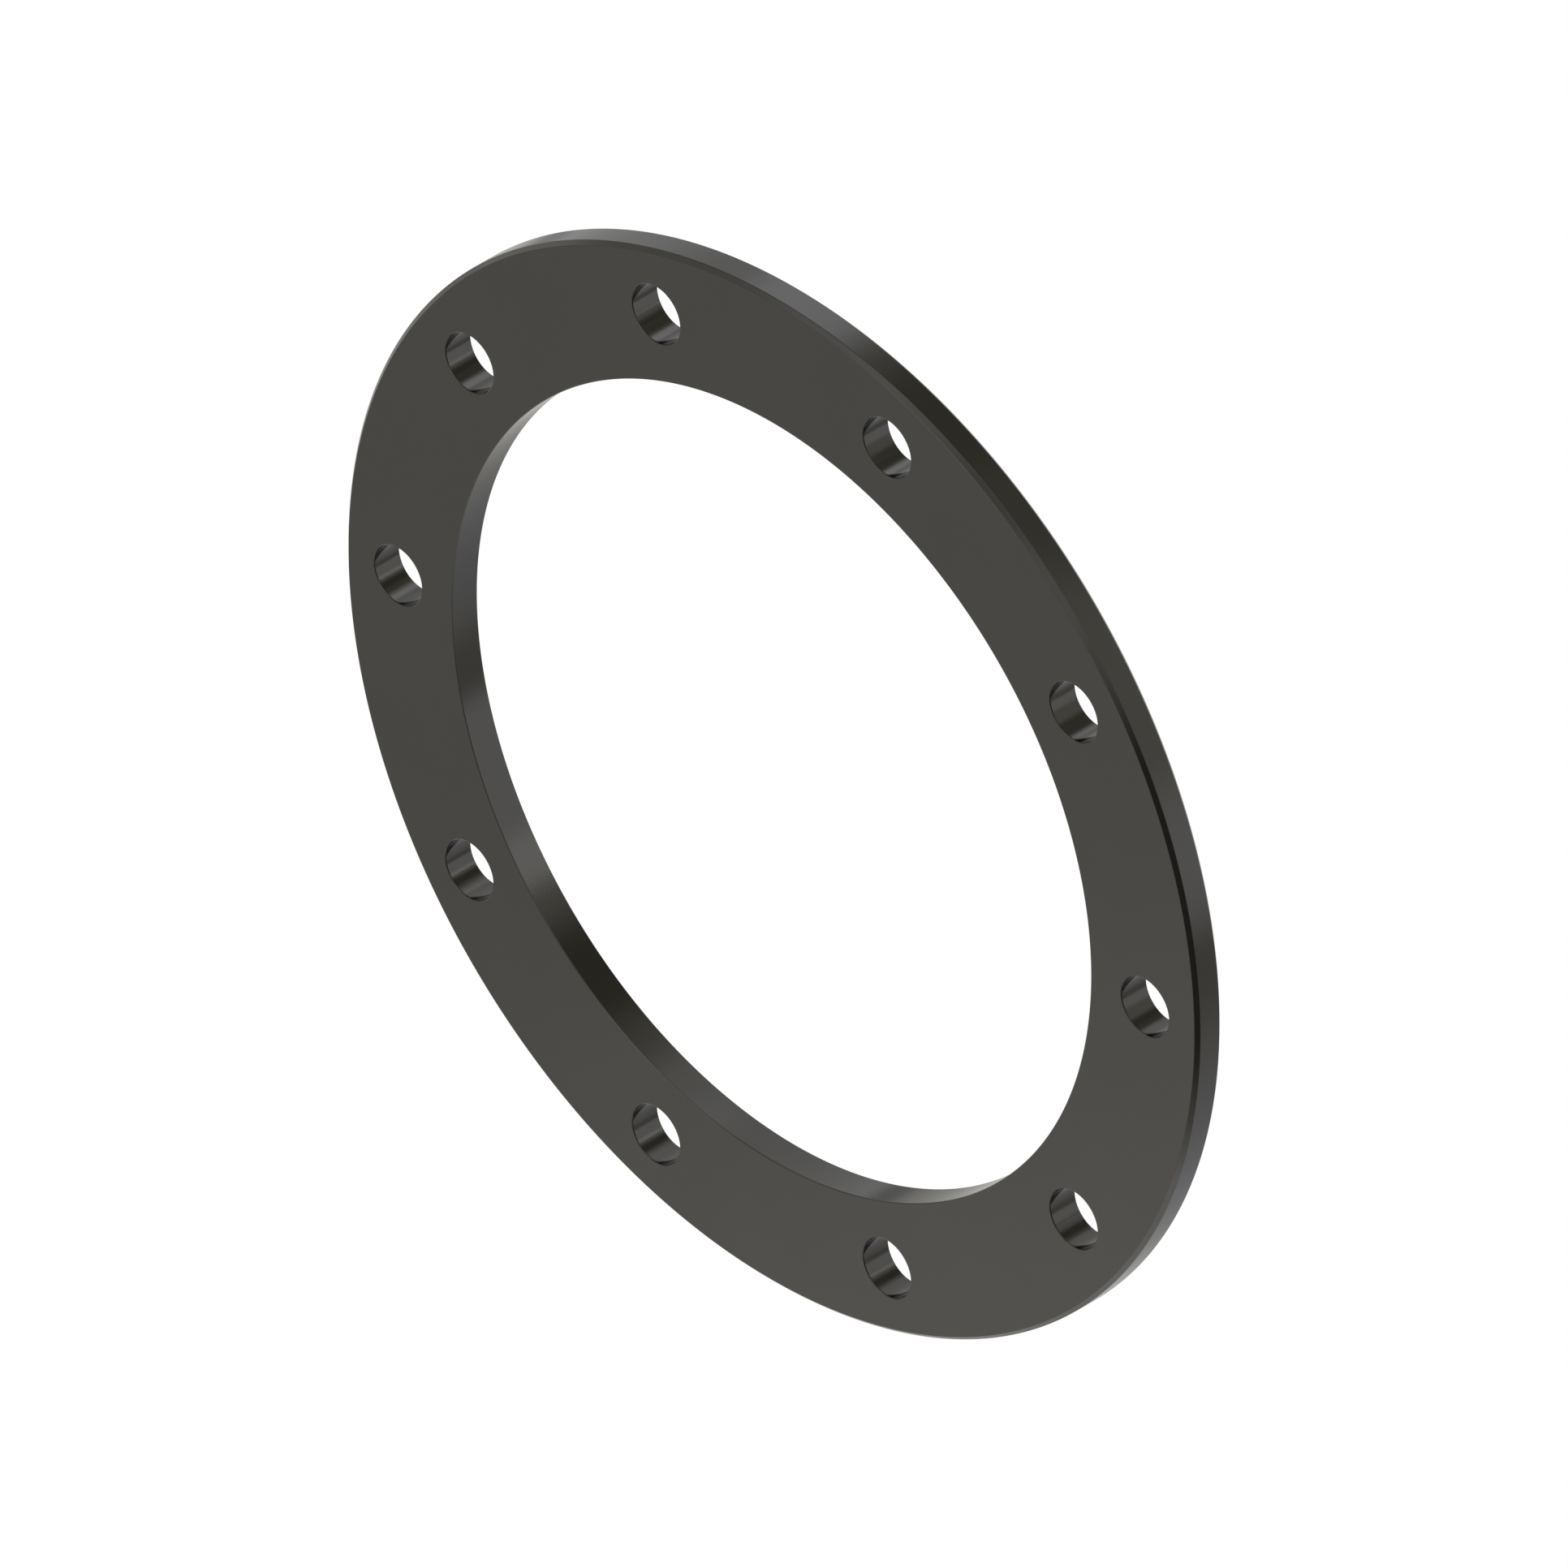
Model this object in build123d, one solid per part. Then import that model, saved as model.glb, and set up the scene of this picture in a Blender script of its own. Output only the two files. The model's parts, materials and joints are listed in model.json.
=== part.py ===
from build123d import *
import os

# Flat ring flange: one piece of plate steel, turned, bored and drilled.
#
# The ring stands on edge. Its axis lies along Y, the front face looks towards -Y and +Z is up.
# The origin is the centre of the bore, halfway through the thickness. The first bolt hole is on
# the +X axis. All lengths are in millimetres.

# Driving dimensions
OUTER_DIAMETER = 269.0
BORE_DIAMETER = 201.6
THICKNESS = 8.0
RIM_CHAMFER = 1.0  # at 45 degrees, on the front and the rear outer corner
BOLT_HOLE_COUNT = 10
BOLT_HOLE_DIAMETER = 15.0
BOLT_CIRCLE_DIAMETER = 235.8
EDGE_BREAK = 0.1  # deburred corners of the bore and of the bolt holes

# Two radii closer than this are taken as the same when edges are picked
RADIUS_TOLERANCE = 0.001

# The ring's own plane: X to the right, Z up, normal towards the front
RING_PLANE = Plane.XZ


def round_edges(solid, diameter):
    """Return the solid's circular edges of one diameter, on both faces."""
    circles = solid.edges().filter_by(GeomType.CIRCLE)
    return circles.filter_by(lambda edge: abs(edge.radius - diameter / 2) < RADIUS_TOLERANCE)


def plate(outline):
    """Return a flat outline thickened equally to both sides of the ring's plane."""
    return extrude(RING_PLANE * outline, amount=THICKNESS / 2, both=True)


def turned_ring():
    """Return the ring as it leaves the lathe: bored, with its outer and inner corners cut back."""
    ring = plate(Circle(OUTER_DIAMETER / 2) - Circle(BORE_DIAMETER / 2))
    ring = chamfer(round_edges(ring, OUTER_DIAMETER), RIM_CHAMFER)
    return chamfer(round_edges(ring, BORE_DIAMETER), EDGE_BREAK)


def drill_bolt_holes(ring):
    """Return the ring with its evenly spaced bolt holes drilled through and deburred."""
    hole_places = PolarLocations(BOLT_CIRCLE_DIAMETER / 2, BOLT_HOLE_COUNT)
    hole_outlines = hole_places * Circle(BOLT_HOLE_DIAMETER / 2)
    drilled = ring - plate(Sketch() + hole_outlines)
    return chamfer(round_edges(drilled, BOLT_HOLE_DIAMETER), EDGE_BREAK)


os.makedirs("parts", exist_ok=True)
flange_ring = drill_bolt_holes(turned_ring())
export_step(flange_ring, "parts/flange_ring.step")
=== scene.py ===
import json
import math
from collections import namedtuple

import bmesh
import bpy
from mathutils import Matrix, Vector


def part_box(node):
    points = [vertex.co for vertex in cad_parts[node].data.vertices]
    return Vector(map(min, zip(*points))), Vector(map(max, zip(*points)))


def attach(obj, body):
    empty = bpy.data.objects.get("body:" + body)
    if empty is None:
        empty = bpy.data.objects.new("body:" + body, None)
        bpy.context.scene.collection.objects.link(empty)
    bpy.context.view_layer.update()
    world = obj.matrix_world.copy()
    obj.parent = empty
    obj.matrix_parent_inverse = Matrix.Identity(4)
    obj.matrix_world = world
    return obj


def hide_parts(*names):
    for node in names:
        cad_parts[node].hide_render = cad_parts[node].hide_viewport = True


# A flat ring flange of dark steel on a plain pale floor, in a small light tent.
#
# Metres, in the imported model's frame: the ring's axis lies along Y, its front face looks towards
# -Y, +Z is up and the origin is in the middle of the bore. Directions round the ring are given as
# an azimuth and an elevation in degrees: azimuth 0 is in front of the ring, 90 is on its +X side.

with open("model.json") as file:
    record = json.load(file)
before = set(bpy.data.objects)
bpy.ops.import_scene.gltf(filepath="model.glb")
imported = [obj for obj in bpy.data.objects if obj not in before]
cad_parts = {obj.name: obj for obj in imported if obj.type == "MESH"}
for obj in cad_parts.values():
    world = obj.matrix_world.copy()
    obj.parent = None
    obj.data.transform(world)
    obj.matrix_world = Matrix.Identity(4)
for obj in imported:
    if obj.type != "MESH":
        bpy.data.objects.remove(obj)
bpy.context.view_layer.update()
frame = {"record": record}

# ---------------------------------------------------------------------------------------------
# Sizes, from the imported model
# ---------------------------------------------------------------------------------------------

MM = 0.001
MOUNTS = {mount["name"]: mount["dims"] for mount in frame["record"]["mounts"]}
BOX_LOW, BOX_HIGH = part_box("flange_ring")

OUTER_RADIUS = BOX_HIGH.x
FRONT_Y = BOX_LOW.y
REAR_Y = BOX_HIGH.y
BORE_RADIUS = MOUNTS["centre_bore"]["r_mm"] * MM
HOLE_RADIUS = MOUNTS["bolt_circle"]["hole_r_mm"] * MM
HOLE_CIRCLE_RADIUS = MOUNTS["bolt_circle"]["pcd_mm"] / 2 * MM
HOLE_COUNT = MOUNTS["bolt_circle"]["count"]

# The record gives no size for these two. The chamfer is at 45 degrees, and its corners and both
# mouths of the bore and of each hole are worn round
RIM_CHAMFER = 1.0 * MM
CORNER_ROUND = 0.25 * MM

# ---------------------------------------------------------------------------------------------
# Mesh
# ---------------------------------------------------------------------------------------------

# Steps round one bolt hole's share of the ring. The share's border has as many points as the hole
HALF_ARC_STEPS = 18
SIDE_STEPS = 12
HOLE_STEPS = 4 * HALF_ARC_STEPS + 2 * SIDE_STEPS
RING_STEPS = 2 * HALF_ARC_STEPS * HOLE_COUNT
LAND_LOOPS = 6
LAND_LOOP_SPACING = 2  # a power: above 1, the loops lie closer together near the hole
MOUTH_ROUND_STEPS = 6
RIM_ROUND_STEPS = 3
MERGE_DISTANCE = 0.001 * MM
STRAIGHT_TURN = math.radians(0.1)  # an outline that turns by less is straight there
FACING = "facing"

# Finishes, in the order of the mesh's material slots
LAND, RIM, WALL, HOLE_MOUTH = range(4)


def polar(radius, angle):
    """Return the point (x, z) at a radius and an angle in radians."""
    return Vector((radius * math.cos(angle), radius * math.sin(angle)))


def rounded_profile(corners, radius, steps):
    """Return (point, facing) pairs along an outline of (radius, y) points with round corners.

    The solid lies to the left of the outline. The first and the last point only give a direction.
    """
    profile = []
    for before, corner, after in zip(corners, corners[1:], corners[2:]):
        run_in = (corner - before).normalized()
        run_out = (after - corner).normalized()
        turn = math.atan2(run_in.cross(run_out), run_in.dot(run_out))
        facing_in = math.atan2(-run_in.x, run_in.y)
        arc_start = corner - run_in * radius * math.tan(turn / 2)
        centre = arc_start - polar(radius, facing_in)
        for step in range(steps + 1):
            facing = polar(1.0, facing_in + turn * step / steps)
            profile.append((centre + facing * radius, facing))
    return profile


def rim_profile():
    """Return the outline from the front face over the rim to the rear face."""
    corners = (
        Vector((BORE_RADIUS, FRONT_Y)),
        Vector((OUTER_RADIUS - RIM_CHAMFER, FRONT_Y)),
        Vector((OUTER_RADIUS, FRONT_Y + RIM_CHAMFER)),
        Vector((OUTER_RADIUS, REAR_Y - RIM_CHAMFER)),
        Vector((OUTER_RADIUS - RIM_CHAMFER, REAR_Y)),
        Vector((BORE_RADIUS, REAR_Y)),
    )
    return rounded_profile(corners, CORNER_ROUND, RIM_ROUND_STEPS)


def wall_profile(radius):
    """Return the outline from the rear face through a bore or a hole to the front face."""
    corners = (
        Vector((OUTER_RADIUS, REAR_Y)),
        Vector((radius, REAR_Y)),
        Vector((radius, FRONT_Y)),
        Vector((OUTER_RADIUS, FRONT_Y)),
    )
    return rounded_profile(corners, CORNER_ROUND, MOUTH_ROUND_STEPS)


def new_point(body, x, y, z, facing):
    """Add a vertex that knows which way the true surface faces there."""
    point = body.verts.new((x, y, z))
    point[body.verts.layers.float_vector[FACING]] = facing
    return point


def join_loops(body, first, second, finish):
    """Add a closed band of quads between two loops of as many points."""
    for i, corner in enumerate(first):
        face = body.faces.new((first[i - 1], corner, second[i], second[i - 1]))
        face.material_index = finish
        face.smooth = True


def add_turned_band(body, profile, centre, first_angle, steps, finish, round_finish):
    """Revolve a profile about an axis along Y. Its rounds can have a finish of their own."""
    loops = []
    for point, facing in profile:
        loop = []
        for step in range(steps):
            around = polar(1.0, first_angle + math.tau * step / steps)
            place = centre + around * point.x
            outward = around * facing.x
            loop.append(new_point(body, place.x, point.y, place.y, (outward.x, facing.y, outward.y)))
        loops.append(loop)
    for i in range(len(loops) - 1):
        turn = profile[i][1].angle(profile[i + 1][1])
        join_loops(body, loops[i], loops[i + 1], round_finish if turn > STRAIGHT_TURN else finish)


def share_border(inner_radius, outer_radius):
    """Return the border of one bolt hole's share of a face, for a hole on the +X axis."""
    half_angle = math.pi / HOLE_COUNT
    upper = []
    for i in range(HALF_ARC_STEPS):
        upper.append(polar(outer_radius, half_angle * i / HALF_ARC_STEPS))
    for i in range(SIDE_STEPS):
        upper.append(polar(outer_radius + (inner_radius - outer_radius) * i / SIDE_STEPS, half_angle))
    for i in range(HALF_ARC_STEPS):
        upper.append(polar(inner_radius, half_angle * (1 - i / HALF_ARC_STEPS)))
    upper.append(polar(inner_radius, 0.0))
    lower = [Vector((point.x, -point.y)) for point in reversed(upper[1:-1])]
    return upper + lower


def add_land(body, hole_angle, y, facing_y, inner_radius, outer_radius, mouth_radius):
    """Add one bolt hole's share of the front or the rear face, as loops from the hole outwards."""
    border = share_border(inner_radius, outer_radius)
    hole_centre = Vector((HOLE_CIRCLE_RADIUS, 0.0))
    previous = None
    for loop_number in range(LAND_LOOPS + 1):
        spread = (loop_number / LAND_LOOPS) ** LAND_LOOP_SPACING
        loop = []
        for i, border_point in enumerate(border):
            mouth_point = hole_centre + polar(mouth_radius, math.tau * i / HOLE_STEPS)
            place = mouth_point.lerp(border_point, spread)
            radius = place.length
            turned = polar(radius, math.atan2(place.y, place.x) + hole_angle)
            loop.append(new_point(body, turned.x, y, turned.y, (0.0, facing_y, 0.0)))
        if previous:
            join_loops(body, previous, loop, LAND)
        previous = loop


def make_ring_body():
    """Return the ring as one closed mesh, with every small round and its true surface directions."""
    body = bmesh.new()
    body.verts.layers.float_vector.new(FACING)
    rim = rim_profile()
    bore = wall_profile(BORE_RADIUS)
    hole = wall_profile(HOLE_RADIUS)
    axis = Vector((0.0, 0.0))
    add_turned_band(body, rim, axis, 0.0, RING_STEPS, RIM, RIM)
    add_turned_band(body, bore, axis, 0.0, RING_STEPS, WALL, WALL)
    for number in range(HOLE_COUNT):
        hole_angle = math.tau * number / HOLE_COUNT
        hole_centre = polar(HOLE_CIRCLE_RADIUS, hole_angle)
        add_turned_band(body, hole, hole_centre, hole_angle, HOLE_STEPS, WALL, HOLE_MOUTH)
        for y, facing_y in ((FRONT_Y, -1.0), (REAR_Y, 1.0)):
            add_land(body, hole_angle, y, facing_y, bore[0][0].x, rim[0][0].x, hole[0][0].x)
    bmesh.ops.remove_doubles(body, verts=body.verts, dist=MERGE_DISTANCE)
    bmesh.ops.recalc_face_normals(body, faces=body.faces)

    mesh = bpy.data.meshes.new("ring_body")
    body.to_mesh(mesh)
    body.free()
    facings = [item.vector.copy() for item in mesh.attributes[FACING].data]
    mesh.attributes.remove(mesh.attributes[FACING])
    mesh.normals_split_custom_set_from_vertices(facings)
    ring = bpy.data.objects.new("ring_body", mesh)
    bpy.context.scene.collection.objects.link(ring)
    return ring


# ---------------------------------------------------------------------------------------------
# Materials
# ---------------------------------------------------------------------------------------------

# Each pair runs from the darkest patches to the lightest, or from the smoothest to the roughest
STEEL = ((0.077, 0.075, 0.067, 1.0), (0.090, 0.087, 0.078, 1.0))
# The mouth rounds of the bolt holes are a darker steel than the faces, the rim and the walls
DARKER_MOUTH_STEEL = ((0.064, 0.062, 0.055, 1.0), (0.074, 0.072, 0.064, 1.0))
TURNED_ROUGHNESS = (0.10, 0.17)
BORED_ROUGHNESS = (0.06, 0.10)

# How large each feature is, and how many times it is broken up into finer ones
PATCH_SIZE = 30.0 * MM  # cloudy patches in the oxide
PATCH_DETAIL = 5.0
GRAIN_SIZE = 0.28 * MM
GRAIN_DETAIL = 2.0
LAY_PITCH = 0.30 * MM  # typical distance between tool marks
LAY_DETAIL = 3.0
LAY_SHARE = 0.5  # of the variation in colour and roughness. The rest comes from the patches

MARK_DEPTH = 0.0003 * MM
FINE_GRAIN = 0.0004 * MM
COARSE_GRAIN = 0.0120 * MM  # the walls are bored, not turned, and their surface is dappled


def add(tree, kind, values=None, **settings):
    """Add a node. values sets or links its inputs, and settings its properties."""
    node = tree.nodes.new(kind)
    for name, value in settings.items():
        setattr(node, name, value)
    for name, value in (values or {}).items():
        if isinstance(value, bpy.types.NodeSocket):
            tree.links.new(value, node.inputs[name])
        else:
            node.inputs[name].default_value = value
    return node


def maths(tree, operation, first, second=0.0):
    """Return the result of a Math node."""
    return add(tree, "ShaderNodeMath", {0: first, 1: second}, operation=operation).outputs[0]


def rescale(tree, value, low, high):
    """Return a 0 to 1 value stretched to low to high."""
    return add(tree, "ShaderNodeMapRange", {"Value": value, "To Min": low, "To Max": high}).outputs[0]


def blend_colours(tree, factor, first, second):
    """Return a mix of two colours."""
    mix = add(tree, "ShaderNodeMix", {0: factor, 6: first, 7: second}, data_type="RGBA")
    return mix.outputs[2]


def noise(tree, place, feature_size, detail):
    """Return a 0 to 1 noise in three dimensions, with features of about the given size."""
    values = {"Vector": place, "Scale": 1 / feature_size, "Detail": detail}
    return add(tree, "ShaderNodeTexNoise", values).outputs["Fac"]


def marks(tree, distance, pitch):
    """Return uneven parallel marks, given how far across them a point lies."""
    values = {"W": maths(tree, "DIVIDE", distance, pitch), "Scale": 1.0, "Detail": LAY_DETAIL}
    return add(tree, "ShaderNodeTexNoise", values, noise_dimensions="1D").outputs["Fac"]


def distance_from_axis(tree, place):
    """Return how far a point lies from the ring's axis."""
    flat = add(tree, "ShaderNodeVectorMath", {0: place, 1: (1.0, 0.0, 1.0)}, operation="MULTIPLY")
    return add(tree, "ShaderNodeVectorMath", {0: flat.outputs[0]}, operation="LENGTH").outputs["Value"]


def distance_along_axis(tree, place):
    """Return a point's place along the ring's axis."""
    return add(tree, "ShaderNodeSeparateXYZ", {0: place}).outputs["Y"]


def make_steel(name, across_marks, colours, roughness, grain_depth):
    """Return a dark machined steel.

    across_marks is a function that gives the distance across its tool marks. The grain's depth is
    in metres.
    """
    material = bpy.data.materials.new(name)
    material.use_nodes = True
    tree = material.node_tree
    shader = tree.nodes["Principled BSDF"]
    place = add(tree, "ShaderNodeTexCoord").outputs["Object"]
    patches = noise(tree, place, PATCH_SIZE, PATCH_DETAIL)
    grain = noise(tree, place, GRAIN_SIZE, GRAIN_DETAIL)
    lay = marks(tree, across_marks(tree, place), LAY_PITCH)

    # Marks and grain together, as a height in metres
    mark_height = maths(tree, "MULTIPLY", lay, MARK_DEPTH)
    grain_height = maths(tree, "MULTIPLY", grain, grain_depth)
    height = maths(tree, "ADD", mark_height, grain_height)
    bump = add(tree, "ShaderNodeBump", {"Height": height, "Strength": 1.0, "Distance": 1.0})

    # Patches and marks together, as the variation in colour and roughness
    patch_cloud = maths(tree, "MULTIPLY", patches, 1 - LAY_SHARE)
    lay_cloud = maths(tree, "MULTIPLY", lay, LAY_SHARE)
    cloud = maths(tree, "ADD", patch_cloud, lay_cloud)
    tree.links.new(blend_colours(tree, cloud, *colours), shader.inputs["Base Color"])
    tree.links.new(rescale(tree, cloud, *roughness), shader.inputs["Roughness"])
    tree.links.new(bump.outputs["Normal"], shader.inputs["Normal"])
    shader.inputs["Metallic"].default_value = 1.0
    return material


def make_finishes():
    """Return the ring's materials in slot order: faces, rim, walls, mouths of the bolt holes."""
    return (
        make_steel("turned_face", distance_from_axis, STEEL, TURNED_ROUGHNESS, FINE_GRAIN),
        make_steel("turned_rim", distance_along_axis, STEEL, TURNED_ROUGHNESS, FINE_GRAIN),
        make_steel("bored_wall", distance_along_axis, STEEL, BORED_ROUGHNESS, COARSE_GRAIN),
        # the bolt holes' mouth rounds, in the darker steel
        make_steel("darker_hole_mouth", distance_along_axis, DARKER_MOUTH_STEEL, TURNED_ROUGHNESS, FINE_GRAIN),
    )


# ---------------------------------------------------------------------------------------------
# Studio
# ---------------------------------------------------------------------------------------------

TENT_RADIUS = 0.58
TENT_SUBDIVISIONS = 5
FLOOR_SIZE = 8.0
PICTURE_WIDTH = 0.350  # metres of the scene across the picture
CAMERA_AZIMUTH = 45.0
CAMERA_ELEVATION = math.degrees(math.atan(math.sqrt(0.5)))
CAMERA_DISTANCE = 0.6
WHITE = (1.0, 1.0, 1.0, 1.0)
RED_LOSS = 0.25  # how much red a cool light loses for the blue that it gains

# One soft-edged card on the tent's wall: where its middle is, how far it reaches to each side and
# up and down, all in degrees, how soft its edge is, from 0 to 1, how bright it is, and how much
# more blue than green it gives. Where cards overlap, the later one hides the earlier one
Card = namedtuple("Card", "azimuth elevation half_width half_height softness brightness coolness")

CLOTH_BRIGHTNESS = 0.62
CLOTH_COOLNESS = -0.03
CARDS = {
    "overhead": Card(-88, 64, 26, 22, 0.3, 0.08, 0.0),
    "floor_glow": Card(-30, -66, 26, 26, 0.5, 0.94, 0.0),
    "floor_spot": Card(58, -67, 17, 17, 0.4, 1.10, 0.05),
    "back_floor": Card(155, -46, 28, 12, 0.5, 0.68, 0.08),
    "back_right_frame": Card(150, -9, 42, 24, 0.15, 0.46, 0.0),
    "back_right_box": Card(150, 0, 38, 20, 0.14, 0.94, 0.06),
    "back_right_hot": Card(135, 20, 7, 6, 0.3, 1.28, 0.06),
    "back_shade_low": Card(152, 44, 14, 13, 0.5, 0.22, -0.12),
    "back_shade_high": Card(172, 60, 13, 10, 0.5, 0.28, -0.12),
    "back_left_box": Card(-138, 27, 40, 31, 0.12, 0.89, 0.04),
    "back_left_dim": Card(-114, 6, 10, 16, 0.5, 0.68, 0.0),
    "back_left_hot": Card(-137, 51, 10, 10, 0.5, 1.46, 0.12),
    "left_gap": Card(-124, -5, 22, 4, 0.5, 0.42, 0.0),
    "left_strip": Card(-82, 11, 12, 12, 0.4, 0.94, 0.0),
    "left_low": Card(-76, -17, 13, 10, 0.4, 1.70, 0.0),
    "floor_line": Card(-80, -57, 12, 12, 0.3, 2.30, 0.0),
    "front_low": Card(-48, -28, 18, 10, 0.6, 0.67, 0.0),
    "front_top": Card(-26, 56, 18, 18, 0.6, 0.88, 0.05),
    "front_dip": Card(19, 45, 6, 6, 0.6, 0.50, 0.0),
    "front_bump": Card(33, 33, 7, 7, 0.5, 0.76, 0.0),
    "front_right_flag": Card(58, -8, 28, 32, 0.3, 0.13, 0.0),
    "front_key": Card(-20, 1, 9, 9, 0.4, 2.80, 0.0),
}


def towards(azimuth, elevation):
    """Return the direction of an azimuth and an elevation in degrees."""
    level = math.cos(math.radians(elevation))
    around = math.radians(azimuth)
    up = math.sin(math.radians(elevation))
    return Vector((math.sin(around) * level, -math.cos(around) * level, up))


def dot(tree, direction, fixed):
    """Return the dot product of a direction with a fixed vector."""
    values = {0: direction, 1: tuple(fixed)}
    return add(tree, "ShaderNodeVectorMath", values, operation="DOT_PRODUCT").outputs["Value"]


def card_cover(tree, direction, card):
    """Return how far a card covers the tent in a direction: 1 inside it, 0 outside."""
    middle = towards(card.azimuth, card.elevation)
    right = towards(card.azimuth + 90, 0)
    up = middle.cross(right)
    across = dot(tree, direction, right / math.sin(math.radians(card.half_width)))
    along = dot(tree, direction, up / math.sin(math.radians(card.half_height)))
    offset = add(tree, "ShaderNodeCombineXYZ", {"X": across, "Y": along}).outputs[0]
    reach = add(tree, "ShaderNodeVectorMath", {0: offset}, operation="LENGTH").outputs["Value"]
    edge = {
        "Value": reach,
        "From Min": 1 - card.softness,
        "From Max": 1 + card.softness,
        "To Min": 1.0,
        "To Max": 0.0,
    }
    cover = add(tree, "ShaderNodeMapRange", edge, interpolation_type="SMOOTHSTEP").outputs[0]
    this_side = maths(tree, "GREATER_THAN", dot(tree, direction, middle), 0.0)
    return maths(tree, "MULTIPLY", cover, this_side)


def glowing_material(name):
    """Return a material that only gives light, and the node that its light comes from."""
    material = bpy.data.materials.new(name)
    material.use_nodes = True
    material.cycles.emission_sampling = "NONE"
    tree = material.node_tree
    tree.nodes.remove(tree.nodes["Principled BSDF"])
    glow = add(tree, "ShaderNodeEmission")
    tree.links.new(glow.outputs[0], tree.nodes["Material Output"].inputs["Surface"])
    return material, glow


def light_colour(brightness, coolness):
    """Return a light's colour. Coolness adds blue and takes a little red, and below 0 it warms."""
    return (brightness * (1 - RED_LOSS * coolness), brightness, brightness * (1 + coolness), 1.0)


def tent_light(tree):
    """Return the tent's light: its cloth, with each card over it in turn."""
    place = add(tree, "ShaderNodeTexCoord").outputs["Object"]
    outward = add(tree, "ShaderNodeVectorMath", {0: place}, operation="NORMALIZE").outputs[0]
    light = light_colour(CLOTH_BRIGHTNESS, CLOTH_COOLNESS)
    for card in CARDS.values():
        card_light = light_colour(card.brightness, card.coolness)
        light = blend_colours(tree, card_cover(tree, outward, card), light, card_light)
    return light


def stage_object(name, body, material):
    """Turn a bmesh into an object of its own with one material, not attached to the ring."""
    mesh = bpy.data.meshes.new(name)
    body.to_mesh(mesh)
    body.free()
    mesh.materials.append(material)
    item = bpy.data.objects.new(name, mesh)
    bpy.context.scene.collection.objects.link(item)
    return item


def make_tent():
    """Hang the light tent round the ring. The camera looks through it, and only the steel sees it."""
    body = bmesh.new()
    bmesh.ops.create_icosphere(body, subdivisions=TENT_SUBDIVISIONS, radius=TENT_RADIUS)
    cloth, glow = glowing_material("tent_cloth")
    cloth.node_tree.links.new(tent_light(cloth.node_tree), glow.inputs["Color"])
    tent = stage_object("light_tent", body, cloth)
    tent.visible_camera = False


def make_floor():
    """Lay the plain pale floor under the ring. It glows evenly, and the steel doesn't mirror it."""
    body = bmesh.new()
    bmesh.ops.create_grid(body, x_segments=1, y_segments=1, size=FLOOR_SIZE / 2)
    bmesh.ops.translate(body, verts=body.verts, vec=(0.0, 0.0, -OUTER_RADIUS))
    paint, glow = glowing_material("pale_floor")
    glow.inputs["Color"].default_value = WHITE
    floor = stage_object("floor", body, paint)
    floor.visible_glossy = False


def make_backdrop():
    """Make everything beyond the floor plain white, and show colours as they are."""
    world = bpy.data.worlds.new("white_studio")
    world.use_nodes = True
    world.node_tree.nodes["Background"].inputs["Color"].default_value = WHITE
    bpy.context.scene.world = world
    bpy.context.scene.view_settings.view_transform = "Standard"


def make_camera():
    """Look at the middle of the ring along the diagonal of a cube, with no perspective."""
    camera_data = bpy.data.cameras.new("camera")
    camera_data.type = "ORTHO"
    camera_data.ortho_scale = PICTURE_WIDTH
    camera = bpy.data.objects.new("camera", camera_data)
    back = towards(CAMERA_AZIMUTH, CAMERA_ELEVATION)
    camera.location = back * CAMERA_DISTANCE
    camera.rotation_mode = "QUATERNION"
    camera.rotation_quaternion = (-back).to_track_quat("-Z", "Y")
    bpy.context.scene.collection.objects.link(camera)
    bpy.context.scene.camera = camera


# ---------------------------------------------------------------------------------------------
# Scene
# ---------------------------------------------------------------------------------------------

ring_body = make_ring_body()
for finish in make_finishes():
    ring_body.data.materials.append(finish)
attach(ring_body, "root")
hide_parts("flange_ring")

make_tent()
make_floor()
make_backdrop()
make_camera()
